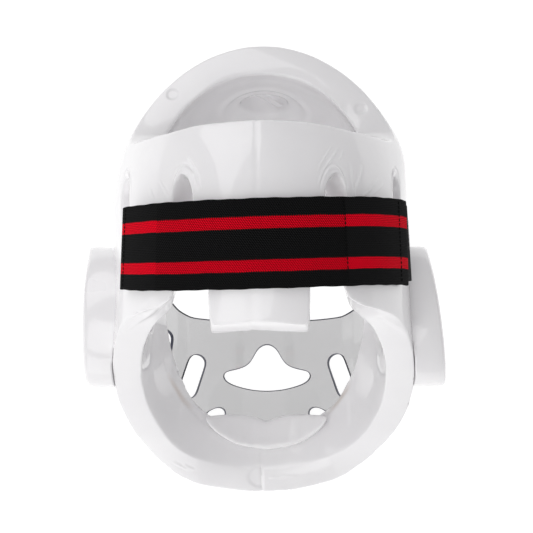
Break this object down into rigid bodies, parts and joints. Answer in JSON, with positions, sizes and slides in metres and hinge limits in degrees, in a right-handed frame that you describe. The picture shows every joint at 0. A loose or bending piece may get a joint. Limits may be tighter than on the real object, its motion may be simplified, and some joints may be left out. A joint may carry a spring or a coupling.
{
  "type": "karate headgear",
  "caption": "Dipped foam sparring headgear with ear cups, a clear mouth shield, a chin pad and an elastic rear strap, lying on its face.",
  "frame": {"origin": "middle of the headgear's outline, on the floor under its forehead and chin guard", "axes": "+X to the wearer's right, +Y towards the crown, +Z towards the back of the headgear as it lies on its face"},
  "size_m": [0.238, 0.2866, 0.2334],
  "materials": {
    "dipped_vinyl": "glossy white vinyl skin on foam",
    "polycarbonate": "clear, lightly smoked",
    "pad_vinyl": "satin white vinyl skin on soft foam",
    "elastic": "black knitted elastic with two red stripes",
    "hook_tape": "black hook tape"
  },
  "bodies": {
    "root": {"foam_shell": "dipped_vinyl", "ear_cup_left": "dipped_vinyl", "ear_cup_right": "dipped_vinyl", "face_shield": "polycarbonate", "chin_pad": "pad_vinyl", "rear_strap": "elastic", "strap_fixing_left": "hook_tape", "hook_tape_right": "hook_tape"}
  },
  "joints": []
}
